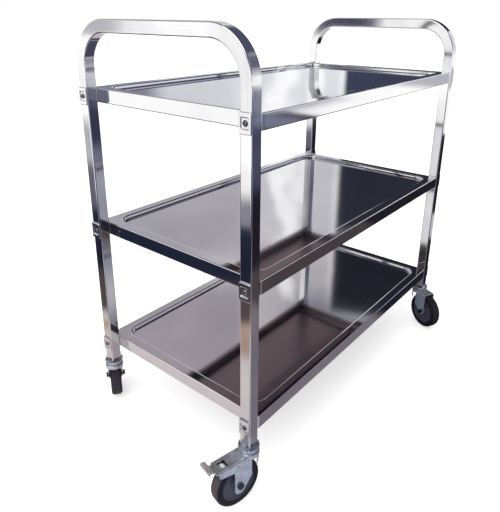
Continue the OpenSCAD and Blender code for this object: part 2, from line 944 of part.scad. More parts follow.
end_frame(-1);  // left_frame
end_frame(1);  // right_frame
shelf(top_z);  // top_shelf
shelf(middle_z);  // middle_shelf
shelf(shelf_z);  // bottom_shelf
stiffener(top_z);  // top_stiffener
stiffener(middle_z);  // middle_stiffener
stiffener(shelf_z);  // bottom_stiffener
joint_plates(top_z);  // top_joint_plates
joint_plates(middle_z);  // middle_joint_plates
joint_plates(shelf_z);  // bottom_joint_plates
bolts(top_z);  // top_bolts
bolts(middle_z);  // middle_bolts
bolts(shelf_z);  // bottom_bolts
washers(top_z);  // top_washers
washers(middle_z);  // middle_washers
washers(shelf_z);  // bottom_washers
nuts(top_z);  // top_nuts
nuts(middle_z);  // middle_nuts
nuts(shelf_z);  // bottom_nuts
plug(front_left);  // front_left_plug
plug(front_right);  // front_right_plug
plug(rear_left);  // rear_left_plug
plug(rear_right);  // rear_right_plug
stem(front_left);  // front_left_stem
stem(front_right);  // front_right_stem
stem(rear_left);  // rear_left_stem
stem(rear_right);  // rear_right_stem
ball_ring(front_left);  // front_left_balls
ball_ring(front_right);  // front_right_balls
ball_ring(rear_left);  // rear_left_balls
ball_ring(rear_right);  // rear_right_balls
fork(front_left, true);  // front_left_fork
fork(front_right, false);  // front_right_fork
fork(rear_left, false);  // rear_left_fork
fork(rear_right, true);  // rear_right_fork
sleeve(front_left);  // front_left_sleeve
sleeve(front_right);  // front_right_sleeve
sleeve(rear_left);  // rear_left_sleeve
sleeve(rear_right);  // rear_right_sleeve
axle(front_left);  // front_left_axle
axle(front_right);  // front_right_axle
axle(rear_left);  // rear_left_axle
axle(rear_right);  // rear_right_axle
axle_nut(front_left);  // front_left_axle_nut
axle_nut(front_right);  // front_right_axle_nut
axle_nut(rear_left);  // rear_left_axle_nut
axle_nut(rear_right);  // rear_right_axle_nut
hub(front_left);  // front_left_hub
hub(front_right);  // front_right_hub
hub(rear_left);  // rear_left_hub
hub(rear_right);  // rear_right_hub
tyre(front_left);  // front_left_tyre
tyre(front_right);  // front_right_tyre
tyre(rear_left);  // rear_left_tyre
tyre(rear_right);  // rear_right_tyre
brake_pin(front_left);  // front_left_brake_pin
brake_pin(rear_right);  // rear_right_brake_pin
brake_pedal(front_left);  // front_left_brake_pedal
brake_pedal(rear_right);  // rear_right_brake_pedal
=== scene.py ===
"""Looks of a three-shelf stainless steel kitchen trolley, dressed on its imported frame.

Sizes are in metres, with the floor at z = 0 under the middle of the trolley, +X along the
shelves and +Y across them.
"""

import logging
import math
from collections.abc import Mapping, Sequence
from dataclasses import dataclass, field
from enum import Enum
from typing import Any

import bpy
from mathutils import Matrix, Vector

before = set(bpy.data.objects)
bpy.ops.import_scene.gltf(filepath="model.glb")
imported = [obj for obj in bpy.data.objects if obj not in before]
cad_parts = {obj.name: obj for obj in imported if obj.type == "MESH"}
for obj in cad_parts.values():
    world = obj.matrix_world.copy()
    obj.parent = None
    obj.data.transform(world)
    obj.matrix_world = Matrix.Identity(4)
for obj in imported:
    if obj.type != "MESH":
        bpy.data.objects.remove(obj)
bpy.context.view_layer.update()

LOG = logging.getLogger("trolley")
# The legs' centre lines, from the middle of the trolley
LEG_X, LEG_Y = 0.4175, 0.2125
# The line along X that each bend of an end frame turns about
BEND_Y, BEND_Z = 0.135, 0.810
# Between these a noise does nearly all of its varying
NOISE_LOW, NOISE_HIGH = 0.3, 0.7
# A mix node's sockets for numbers and for colours share their names, so they go by number
NUMBER_A, NUMBER_B = 2, 3
COLOUR_A, COLOUR_B, MIXED_COLOUR = 6, 7, 2

Colour = tuple[float, float, float, float]
Point = tuple[float, float, float]
Span = tuple[float, float]
NodeTree = bpy.types.NodeTree
Socket = bpy.types.NodeSocket


class Side(Enum):
    """An end of the trolley."""

    LEFT = "left"
    RIGHT = "right"


class Level(Enum):
    """A shelf, by its height."""

    TOP = "top"
    MIDDLE = "middle"
    BOTTOM = "bottom"


class Corner(Enum):
    """A corner: the direction in degrees in which its wheel trails, and the colour of its tread.

    The tread colours are partly dust and partly painted light and shade: pale on the front left
    tread, which faces the light, and near black on the front right one, which faces away.
    """

    # Tread colours: partly dust, partly painted light and shade by how each tread faces the light
    FRONT_LEFT = ("front_left", -1, -1, 167.0, "#5b5259", True)
    FRONT_RIGHT = ("front_right", 1, -1, -116.0, "#1c1b21", False)
    REAR_LEFT = ("rear_left", -1, 1, 56.0, "#37333d", False)
    REAR_RIGHT = ("rear_right", 1, 1, 347.0, "#37333d", True)

    def __init__(
        self, label: str, side_x: int, side_y: int, trails: float, tread_dust_and_shade: str, braked: bool
    ) -> None:
        """Keeps the label, the leg, the wheel's direction and tread, and if there is a brake."""
        self.label = label
        self.leg = (side_x * LEG_X, side_y * LEG_Y)
        self.trails = math.radians(trails)
        self.tread_dust_and_shade = tread_dust_and_shade
        self.braked = braked


class Grain(Enum):
    """The way in which a metal's polishing lines run."""

    ALONG_TUBE = "along the bent tube"
    ALONG_X = "along the shelf"
    UPRIGHT = "upright"
    CLOUDY = "no lines, but cloudy patches"


def linear(colour: str) -> Colour:
    """Turns an sRGB hex colour into the linear colour that a shader takes.

    Args:
        colour: six hex digits, with or without a leading #.

    Returns:
        Red, green, blue and alpha, each from 0 to 1.
    """
    digits = colour.lstrip("#")
    parts = [int(digits[i:i + 2], 16) / 255 for i in (0, 2, 4)]
    red, green, blue = [
        p / 12.92 if p <= 0.04045 else ((p + 0.055) / 1.055) ** 2.4 for p in parts]
    return red, green, blue, 1.0


def bright(colour: str, glow: float) -> Colour:
    """Gives a hex colour as a light that is glow times as bright."""
    red, green, blue, alpha = linear(colour)
    return red * glow, green * glow, blue * glow, alpha


def add_node(
    tree: NodeTree,
    kind: str,
    settings: Mapping[str, Any] | None = None,
    inputs: Mapping[str | int, Any] | None = None,
) -> bpy.types.Node:
    """Adds a node with its settings and links.

    Args:
        tree: the node tree that it goes in.
        kind: the node's type, without the words ShaderNode.
        settings: attributes of the node by name.
        inputs: a value for an input socket, or the output socket that it is linked to.

    Returns:
        The new node.
    """
    node = tree.nodes.new("ShaderNode" + kind)
    for name, value in (settings or {}).items():
        setattr(node, name, value)
    for name, value in (inputs or {}).items():
        if isinstance(value, bpy.types.NodeSocket):
            tree.links.new(value, node.inputs[name])
        else:
            node.inputs[name].default_value = value
    return node


def new_material(name: str) -> tuple[bpy.types.Material, NodeTree]:
    """Makes a material with an empty node tree.

    Args:
        name: the material's name.

    Returns:
        The material and its node tree.
    """
    material = bpy.data.materials.new(name)
    material.use_nodes = True
    material.node_tree.nodes.clear()
    return material, material.node_tree


def dress(node: str, material: bpy.types.Material) -> None:
    """Gives a node of the frame its finish.

    Args:
        node: the name of the node.
        material: its finish.
    """
    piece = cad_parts[node]
    piece.data.materials.clear()
    piece.data.materials.append(material)
    LOG.info("%s: %s", node, material.name)


@dataclass(frozen=True)
class Steel:
    """A bare or plated steel: its colour, its polish and the grain that the polishing left.

    The grain is drawn wider than the real grit lines, which are too fine to show. Where the
    steel is worn at a point, the metal round that point is scuffed to a pale matt patch, and
    the patch's pure white is a painted highlight.
    """

    name: str
    colour: str
    shade: str
    roughness: float
    grain: Grain
    grain_mm: float = 1.6
    grain_depth_mm: float = 0.004
    # How many times longer than wide a polishing line is
    grain_stretch: float = 140.0
    # Cloudy patches to a metre, where there are no lines
    clouds: float = 60.0
    # How wide and how deep the sheet's waves are
    wave_mm: float = 90.0
    wave_depth_mm: float = 0.10
    # The darker colour of the faces that look down: painted shade
    underside_shade: str | None = None
    underside_roughness: float = 0.4
    # How much the lines show beside the waves
    streak: float = 0.5
    metal: float = 1.0
    # A worn spot round a point, whose pale matt white is a painted highlight
    wear_and_highlight_at: Point | None = None
    wear_and_highlight_mm: float = 8.0
    wear_and_highlight_colour: str = "#ffffff"
    wear_and_highlight_metal: float = 0.1

    def grain_space(self, tree: NodeTree, place: Socket) -> Socket:
        """Stretches the place along the grain.

        Args:
            tree: the material's node tree.
            place: the point on the piece, in metres.

        Returns:
            The stretched place, in which an even noise draws lines.
        """
        if self.grain is Grain.CLOUDY:
            return place
        if self.grain is Grain.ALONG_TUBE:
            place = self.tube_space(tree, place)
        across = 1000 / self.grain_mm
        along = across / self.grain_stretch
        along_x = self.grain is Grain.ALONG_X
        scale = (along, across, across) if along_x else (across, across, along)
        return add_node(
            tree, "VectorMath", {"operation": "MULTIPLY"}, {0: place, 1: scale}).outputs[0]

    @staticmethod
    def tube_space(tree: NodeTree, place: Socket) -> Socket:
        """Measures a point of an end frame across and along its bent tube.

        Args:
            tree: the material's node tree.
            place: the point on the tube, in metres.

        Returns:
            The point's X, its distance from the line that the bend turns about, which stays the
            same along the tube, and its way along.
        """
        x, y, z = add_node(tree, "SeparateXYZ", inputs={0: place}).outputs
        aside = add_node(tree, "Math", {"operation": "ABSOLUTE"}, {0: y}).outputs[0]
        past = []
        for distance, centre in ((aside, BEND_Y), (z, BEND_Z)):
            beyond = add_node(
                tree, "Math", {"operation": "SUBTRACT"}, {0: distance, 1: centre}).outputs[0]
            past.append(add_node(
                tree, "Math", {"operation": "MAXIMUM"}, {0: beyond, 1: 0.0}).outputs[0])
        pair = add_node(tree, "CombineXYZ", inputs={0: past[0], 1: past[1]}).outputs[0]
        across = add_node(
            tree, "VectorMath", {"operation": "LENGTH"}, {0: pair}).outputs["Value"]
        along = add_node(tree, "Math", {"operation": "ADD"}, {0: y, 1: z}).outputs[0]
        return add_node(tree, "CombineXYZ", inputs={0: x, 1: across, 2: along}).outputs[0]

    def tone(self, tree: NodeTree, lines: Socket, patches: Socket) -> Socket:
        """Varies the colour along the polishing lines and from patch to patch.

        Args:
            tree: the material's node tree.
            lines: the noise of the polishing lines.
            patches: the noise of the sheet's waves.

        Returns:
            The colour of the clean metal.
        """
        both = add_node(
            tree, "Math", {"operation": "MULTIPLY_ADD"},
            {0: lines, 1: self.streak, 2: patches}).outputs[0]
        share = add_node(tree, "MapRange", inputs={
            "Value": both, "From Min": 0.35 + self.streak * NOISE_LOW,
            "From Max": 0.65 + self.streak * NOISE_HIGH}).outputs[0]
        return add_node(tree, "Mix", {"data_type": "RGBA"}, {
            "Factor": share, COLOUR_A: linear(self.shade), COLOUR_B: linear(self.colour),
        }).outputs[MIXED_COLOUR]

    def dull_and_shade_below(
        self, tree: NodeTree, colour: Socket, rough: Socket, underside_shade: str
    ) -> tuple[Socket, Socket]:
        """Makes the faces that look down rougher, as a dull mill finish, and paints them darker and
        warmer, which is painted shade.

        Args:
            tree: the material's node tree.
            colour: the colour of the polished faces.
            rough: the roughness of the polished faces.
            underside_shade: the darker colour of the faces that look down, a painted shade.

        Returns:
            The colour and the roughness of all faces.
        """
        facing = add_node(tree, "NewGeometry").outputs["True Normal"]
        upward = add_node(tree, "SeparateXYZ", inputs={0: facing}).outputs["Z"]
        down = add_node(tree, "MapRange", inputs={
            "Value": upward, "From Min": -0.3, "From Max": -0.9}).outputs[0]
        colour = add_node(tree, "Mix", {"data_type": "RGBA"}, {
            "Factor": down, COLOUR_A: colour, COLOUR_B: linear(underside_shade),
        }).outputs[MIXED_COLOUR]
        rough = add_node(tree, "Mix", {"data_type": "FLOAT"}, {
            "Factor": down, NUMBER_A: rough, NUMBER_B: self.underside_roughness}).outputs[0]
        return colour, rough

    def scuff_and_highlight(
        self, tree: NodeTree, colour: Socket, place: Socket, wear_and_highlight_at: Point
    ) -> tuple[Socket, Socket]:
        """Scuffs the metal round a point to a pale matt patch, whose white is a painted highlight.

        Args:
            tree: the material's node tree.
            colour: the colour of the clean metal.
            place: the point on the piece, in metres.
            wear_and_highlight_at: the middle of the patch.

        Returns:
            The colour and how metallic it is, with the patch.
        """
        reach = self.wear_and_highlight_mm / 1000
        away = add_node(
            tree, "VectorMath", {"operation": "DISTANCE"}, {0: place, 1: wear_and_highlight_at}
        ).outputs["Value"]
        # The pale patch: wear, and its white is a painted highlight
        worn = add_node(tree, "MapRange", inputs={
            "Value": away, "From Min": reach * 1.1, "From Max": reach * 0.9}).outputs[0]
        colour = add_node(tree, "Mix", {"data_type": "RGBA"}, {
            "Factor": worn, COLOUR_A: colour, COLOUR_B: linear(self.wear_and_highlight_colour),
        }).outputs[MIXED_COLOUR]
        metal = add_node(tree, "Mix", {"data_type": "FLOAT"}, {
            "Factor": worn, NUMBER_A: self.metal, NUMBER_B: self.wear_and_highlight_metal}).outputs[0]
        return colour, metal

    def build(self) -> bpy.types.Material:
        """Makes the finish.

        Returns:
            The material.
        """
        material, tree = new_material(self.name)
        place = add_node(tree, "TexCoord").outputs["Object"]
        lines = add_node(tree, "TexNoise", inputs={
            "Vector": self.grain_space(tree, place), "Detail": 3.0, "Roughness": 0.65,
            "Scale": self.clouds if self.grain is Grain.CLOUDY else 1.0}).outputs["Fac"]
        patches = add_node(tree, "TexNoise", inputs={
            "Vector": place, "Scale": 1000 / self.wave_mm, "Detail": 2.0}).outputs["Fac"]
        colour = self.tone(tree, lines, patches)
        rough = add_node(tree, "MapRange", inputs={
            "Value": lines, "From Min": NOISE_LOW, "From Max": NOISE_HIGH,
            "To Min": self.roughness * 0.75, "To Max": self.roughness * 1.25}).outputs[0]
        metal: float | Socket = self.metal
        if self.underside_shade:
            colour, rough = self.dull_and_shade_below(tree, colour, rough, self.underside_shade)
        if self.wear_and_highlight_at:
            colour, metal = self.scuff_and_highlight(tree, colour, place, self.wear_and_highlight_at)
        wave = add_node(tree, "Bump", inputs={
            "Height": patches, "Distance": self.wave_depth_mm / 1000}).outputs[0]
        relief = add_node(tree, "Bump", inputs={
            "Height": lines, "Distance": self.grain_depth_mm / 1000, "Normal": wave}).outputs[0]
        surface = add_node(tree, "BsdfPrincipled", inputs={
            "Base Color": colour, "Metallic": metal, "Roughness": rough, "Normal": relief})
        add_node(tree, "OutputMaterial", inputs={"Surface": surface.outputs[0]})
        return material


@dataclass(frozen=True)
class Moulded:
    """A moulded plastic or rubber: its colour, its sheen and the texture of its mould.

    Where it has an axle, side is the colour of the faces that look along it.
    """

    name: str
    colour: str
    shade: str
    roughness: float
    ior: float
    # Blotches to a metre
    blotches: float = 45.0
    texture_mm: float = 1.2
    texture_depth_mm: float = 0.02
    # How strongly it mirrors, where 0.5 is what its IOR gives
    sheen: float = 0.5
    axle: Point | None = None
    side: str = "#000000"

    def sided(self, tree: NodeTree, tread_dust_and_shade: Socket, axle: Point) -> Socket:
        """Keeps the sides of a wheel as they were moulded, and gives its tread the given colour,
        which on a tyre is partly dust and partly painted light and shade.

        Args:
            tree: the material's node tree.
            tread_dust_and_shade: the colour of the tread, partly dust and partly painted light and
                shade.
            axle: the direction of the wheel's axle.

        Returns:
            The colour of the whole tyre.
        """
        normal = add_node(tree, "NewGeometry").outputs["Normal"]
        normal = add_node(
            tree, "VectorTransform",
            {"vector_type": "NORMAL", "convert_from": "WORLD", "convert_to": "OBJECT"},
            {0: normal}).outputs[0]
        along = add_node(
            tree, "VectorMath", {"operation": "DOT_PRODUCT"}, {0: normal, 1: axle}
        ).outputs["Value"]
        along = add_node(tree, "Math", {"operation": "ABSOLUTE"}, {0: along}).outputs[0]
        flank = add_node(tree, "MapRange", inputs={
            "Value": along, "From Min": 0.35, "From Max": 0.85}).outputs[0]
        return add_node(tree, "Mix", {"data_type": "RGBA"}, {
            "Factor": flank, COLOUR_A: tread_dust_and_shade, COLOUR_B: linear(self.side),
        }).outputs[MIXED_COLOUR]

    def build(self) -> bpy.types.Material:
        """Makes the finish.

        Returns:
            The material.
        """
        material, tree = new_material(self.name)
        place = add_node(tree, "TexCoord").outputs["Object"]
        mottle = add_node(tree, "TexNoise", inputs={
            "Vector": place, "Scale": self.blotches, "Detail": 4.0}).outputs["Fac"]
        colour = add_node(tree, "Mix", {"data_type": "RGBA"}, {
            "Factor": mottle, COLOUR_A: linear(self.shade), COLOUR_B: linear(self.colour),
        }).outputs[MIXED_COLOUR]
        if self.axle:
            colour = self.sided(tree, colour, self.axle)
        grit = add_node(tree, "TexNoise", inputs={
            "Vector": place, "Scale": 1000 / self.texture_mm, "Detail": 2.0}).outputs["Fac"]
        relief = add_node(tree, "Bump", inputs={
            "Height": grit, "Distance": self.texture_depth_mm / 1000}).outputs[0]
        rough = add_node(tree, "MapRange", inputs={
            "Value": mottle, "From Min": NOISE_LOW, "From Max": NOISE_HIGH,
            "To Min": self.roughness * 0.85, "To Max": self.roughness * 1.1}).outputs[0]
        surface = add_node(tree, "BsdfPrincipled", inputs={
            "Base Color": colour, "Roughness": rough, "IOR": self.ior, "Normal": relief,
            "Specular IOR Level": self.sheen})
        add_node(tree, "OutputMaterial", inputs={"Surface": surface.outputs[0]})
        return material


@dataclass
class Finishes:
    """Every finish that the pieces share, built once."""

    # Cold-drawn stainless tube, belt-polished along its length: fine lines and a soft mirror
    tube: bpy.types.Material = field(default_factory=Steel(
        "belt_polished_stainless_tube", "#e3e3e3", "#c9c9cd", 0.07, Grain.ALONG_TUBE).build)
    # Bright-annealed sheet, pressed: a mirror with a slight wave, dull on its lower face;
    # the lower face's darker warm colour is painted shade
    shelf: bpy.types.Material = field(default_factory=Steel(
        "bright_annealed_stainless_sheet", "#dededf", "#d2d2d6", 0.06, Grain.ALONG_X,
        wave_mm=140.0, underside_shade="#897c7f", underside_roughness=0.35).build)
    # Folded strip of the same sheet, left with its dull mill finish; its dark warm colour is
    # painted shade, as on the shelves' lower faces
    channel: bpy.types.Material = field(default_factory=Steel(
        "shaded_mill_finish_stainless_channel", "#83787b", "#70666a", 0.34, Grain.ALONG_X).build)
    # Plates polished before they were pressed: a soft mirror with small dents
    plate: bpy.types.Material = field(default_factory=Steel(
        "polished_stainless_plate", "#e0e0e3", "#cbcbd0", 0.13, Grain.UPRIGHT,
        wave_mm=25.0).build)
    # Turned and rolled stainless screws: greyer and rougher than the sheet
    screw: bpy.types.Material = field(default_factory=Steel(
        "turned_stainless_screw", "#8c8889", "#4c494c", 0.22, Grain.CLOUDY).build)
    # Hardened bolt with a black oxide that is rubbed to steel in places
    axle: bpy.types.Material = field(default_factory=Steel(
        "worn_black_oxide_bolt", "#555763", "#1f2129", 0.24, Grain.CLOUDY).build)
    # Ground bearing steel: a clean mirror
    ball: bpy.types.Material = field(default_factory=Steel(
        "ground_bearing_steel", "#dcdce0", "#c2c2c8", 0.08, Grain.CLOUDY).build)
    # Pressed mild steel with blue-passivated zinc plating: bluish, bright and a little cloudy
    zinc: bpy.types.Material = field(default_factory=Steel(
        "blue_passivated_zinc_plating", "#ced2da", "#a8abb6", 0.15, Grain.CLOUDY,
        wave_mm=14.0, metal=0.74).build)
    # Moulded polyamide 6: near black with a soft sheen
    plug: bpy.types.Material = field(default_factory=Moulded(
        "moulded_black_nylon", "#26262a", "#1d1d21", 0.45, 1.53).build)
    # Moulded polypropylene: dark grey and satin
    hub: bpy.types.Material = field(default_factory=Moulded(
        "satin_grey_polypropylene", "#3f3d50", "#343343", 0.40, 1.49).build)


@dataclass
class EndFrame:
    """A bent tube end frame with its two legs and its push handle."""

    side: Side

    def dress(self, finishes: Finishes) -> None:
        """Gives the tube its finish.

        Args:
            finishes: the trolley's finishes.
        """
        dress(f"{self.side.value}_frame", finishes.tube)


@dataclass
class TrayShelf:
    """A pressed shelf with its stiffener, joint plates and bolts."""

    level: Level

    def dress(self, finishes: Finishes) -> None:
        """Gives the shelf and what fastens it their finishes.

        Args:
            finishes: the trolley's finishes.
        """
        name = self.level.value
        dress(f"{name}_shelf", finishes.shelf)
        dress(f"{name}_stiffener", finishes.channel)
        dress(f"{name}_joint_plates", finishes.plate)
        for part in ("bolts", "washers", "nuts"):
            dress(f"{name}_{part}", finishes.screw)


@dataclass
class Caster:
    """A swivel caster with its wheel and, on two corners, its brake.

    The pedal is pressed at a reach from the swivel axis and a height above the floor.
    """

    corner: Corner
    tread_reach: float = 0.0585
    tread_height: float = 0.105

    def tyre(self) -> bpy.types.Material:
        """Makes this wheel's tyre of thermoplastic rubber, dark at its sides; its tread colour is
        partly dust and partly painted light and shade for this corner.

        Returns:
            The material.
        """
        trails = self.corner.trails
        return Moulded(
            f"{self.corner.label}_thermoplastic_rubber", self.corner.tread_dust_and_shade, "#2a272d", 0.60,
            1.50, sheen=0.2, axle=(-math.sin(trails), math.cos(trails), 0.0), side="#13121f"
        ).build()

    def pedal(self) -> bpy.types.Material:
        """Makes this pedal's zinc plating, dulled by shoes and worn where it is pressed, with a
        painted white highlight on that spot.

        Returns:
            The material.
        """
        trails = self.corner.trails
        leg_x, leg_y = self.corner.leg
        return Steel(
            f"{self.corner.label}_scuffed_and_highlit_zinc_plating", "#cbc6c9", "#a09b9f", 0.26,
            Grain.CLOUDY, wave_mm=12.0, metal=0.5, wear_and_highlight_at=(
                leg_x + self.tread_reach * math.cos(trails),
                leg_y + self.tread_reach * math.sin(trails), self.tread_height)).build()

    def dress(self, finishes: Finishes) -> None:
        """Gives the caster's pieces their finishes.

        Args:
            finishes: the trolley's finishes.
        """
        rows = [
            ("plug", finishes.plug, "plug_nylon"),
            ("stem", finishes.zinc, "zinc_plate"),
            ("balls", finishes.ball, "ball_steel"),
            ("fork", finishes.zinc, "zinc_plate"),
            ("sleeve", finishes.screw, "bolt_steel"),
            ("axle", finishes.axle, "axle_steel"),
            ("axle_nut", finishes.axle, "axle_steel"),
            ("hub", finishes.hub, "hub_plastic"),
            ("tyre", self.tyre(), "tyre_rubber"),
        ]
        if self.corner.braked:
            rows.append(("brake_pin", finishes.zinc, "zinc_plate"))
            rows.append(("brake_pedal", self.pedal(), "pedal_steel"))
        for part, material, slot in rows:
            dress(f"{self.corner.label}_{part}", material)


@dataclass(frozen=True)
class Card:
    """A soft-edged patch of the surroundings that the steel mirrors, straight or rippled.

    On the floor u and v are metres along X and Y. On the wall they are degrees round from +X
    towards +Y and degrees above the horizon. The turn is in degrees.
    """

    colour: str
    u: Span
    v: Span
    soft: float
    turn: float = 0.0
    glow: float = 1.2
    ripple: float = 0.0

    def mask(self, tree: NodeTree, u: Socket, v: Socket, ripples: Socket) -> Socket:
        """Works out how much of a place the card covers.

        Args:
            tree: the node tree that it is made in.
            u: the place's first coordinate.
            v: the place's second coordinate.
            ripples: a noise round 0 that moves rippled edges.

        Returns:
            1 inside the card, 0 beside it, and all between across its soft edges.
        """
        along, aside = math.cos(math.radians(self.turn)), math.sin(math.radians(self.turn))
        masks = []
        for (low, high), u_share, v_share in ((self.u, along, aside), (self.v, -aside, along)):
            line = add_node(
                tree, "Math", {"operation": "MULTIPLY"}, {0: v, 1: v_share}).outputs[0]
            line = add_node(
                tree, "Math", {"operation": "MULTIPLY_ADD"}, {0: u, 1: u_share, 2: line}
            ).outputs[0]
            if self.ripple:
                line = add_node(
                    tree, "Math", {"operation": "MULTIPLY_ADD"},
                    {0: ripples, 1: self.ripple, 2: line}).outputs[0]
            for edge, start, stop in ((low, 0.0, 1.0), (high, 1.0, 0.0)):
                masks.append(add_node(
                    tree, "MapRange", {"interpolation_type": "SMOOTHSTEP"}, {
                        "Value": line, "From Min": edge - self.soft,
                        "From Max": edge + self.soft, "To Min": start, "To Max": stop,
                    }).outputs[0])
        cover = masks[0]
        for other in masks[1:]:
            cover = add_node(
                tree, "Math", {"operation": "MULTIPLY"}, {0: cover, 1: other}).outputs[0]
        return cover


# Walls, doors and windows of the room, the later ones in front of the earlier
WALL_CARDS = (
    Card("#b7b7bf", (74, 138), (9, 28), 4.0),
    Card("#9a99a2", (74, 146), (30, 62), 3.0),
    Card("#9fa0aa", (174, 205), (9, 32), 3.0),
    Card("#a5a6b0", (-205, -150), (9, 32), 3.0),
    Card("#b4b4bc", (-130, -62), (9, 62), 4.0),
    Card("#dedee5", (-66, -22), (5, 13), 2.0),
    Card("#d0d1d6", (39, 70), (-30, 14), 3.0),
    Card("#aeabb3", (38, 112), (14, 27), 3.0),
    Card("#a49da4", (38, 112), (27, 70), 3.0),
    Card("#7d7f92", (49.5, 62), (4, 12), 1.5),
    Card("#dadbdf", (29.4, 40), (-30, 13), 1.0),
    Card("#cbc9ce", (29.4, 40), (13, 24), 1.0),
    Card("#bebbbe", (29.4, 40), (24, 60), 1.0),
    Card("#fbfbfb", (35.6, 38.2), (3, 27), 0.8, turn=5.0, ripple=7.0),
    Card("#f6f6f6", (31.2, 33.0), (4, 22), 0.5, turn=-4.0, ripple=4.0),
    Card("#e6e6ea", (-22, 6), (0, 25), 5.0),
    Card("#b3b3c0", (-64, -47), (12, 28), 2.5),
    Card("#6f7084", (-47, -24), (12, 32), 5.5),
    Card("#53556b", (-66, 34), (30, 60), 3.5),
    Card("#3a3d50", (-4, 29.4), (-30, 13), 0.35),
    Card("#2a2c38", (-4, 29.4), (13, 22.5), 0.35),
    Card("#20222b", (-4, 29.4), (22.5, 31), 0.35),
    Card("#5a5b6b", (-200, 200), (58, 95), 5.0),
    Card("#b5b4bd", (33, 72), (40, 56), 2.0),
    Card("#c4c3c9", (108, 127.5), (-8, 4), 1.0),
    Card("#3b3f54", (147.0, 153.6), (-30, 25), 0.8),
    Card("#2e3044", (-150, -128), (-20, 60), 3.0),
    Card("#44475b", (-106, -68), (12, 60), 5.0),
)

# Mats on the floor that the steel alone mirrors, the later ones over the earlier; the grey and
# dark patches close in front of the trolley stand for its own shadow there, as painted shade
FLOOR_CARDS = (
    Card("#c2c1c8", (-3.6, -2.3), (1.0, 6.0), 0.4, turn=-22.0),
    Card("#68687a", (-2.4, -1.5), (0.45, 4.0), 0.18, turn=-22.0),
    Card("#8e8c98", (-2.05, -1.5), (-0.8, 0.5), 0.15, turn=-22.0),
    Card("#22273a", (-1.66, -1.00), (-3.0, 3.0), 0.06, turn=-22.0),
    Card("#544a4c", (-1.10, -0.82), (-3.0, 3.0), 0.06, turn=-22.0),
    Card("#b49c8c", (-0.845, -0.55), (-3.0, 3.0), 0.035, turn=-34.0),
    Card("#d6cdcd", (-0.75, -0.40), (-0.62, 3.0), 0.035, turn=-22.0),
    Card("#c9bfc2", (0.04, 2.4), (-0.26, 2.4), 0.06),
    Card("#544b51", (0.30, 1.6), (-0.26, 0.32), 0.05),
    Card("#c9bfc2", (-0.12, 0.30), (0.12, 0.44), 0.05),
    Card("#565a70", (-0.50, 0.10), (0.43, 1.5), 0.05),
    Card("#a79ba1", (-0.46, -0.10), (-0.24, 0.20), 0.05),
    Card("#6c646d", (-0.14, 0.26), (-0.26, 0.14), 0.05),
    Card("#515a6c", (0.24, 0.52), (-0.26, 0.10), 0.04),
    Card("#211f29", (0.24, 3.2), (-2.8, -0.20), 0.08),
    Card("#7f8094", (-5.0, 2.2), (-7.0, -1.6), 0.25),
    Card("#2c2a36", (-2.6, -0.50), (-1.9, -0.56), 0.06),
    Card("#84828a", (-0.52, 0.28), (-1.8, -0.74), 0.06),
    Card("#aeb1c2", (-0.80, -0.30), (-0.80, -0.19), 0.05),
    Card("#7a737c", (-0.34, 0.36), (-0.80, -0.17), 0.05),
    Card("#4a4344", (0.14, 1.06), (-0.84, -0.64), 0.05),
    Card("#8c8d9f", (2.2, 4.4), (-4.8, -2.75), 0.25),
    Card("#4b4b64", (1.10, 2.95), (-4.3, -1.45), 0.22),
    Card("#393a4e", (0.90, 2.05), (-4.3, -2.15), 0.10),
    Card("#7d8094", (2.45, 2.95), (-2.85, -2.2), 0.15),
    Card("#c4c3ca", (1.08, 1.36), (-0.62, -0.40), 0.04),
    Card("#bdbdc3", (5.9, 9.0), (-3.4, -1.5), 0.4),
)


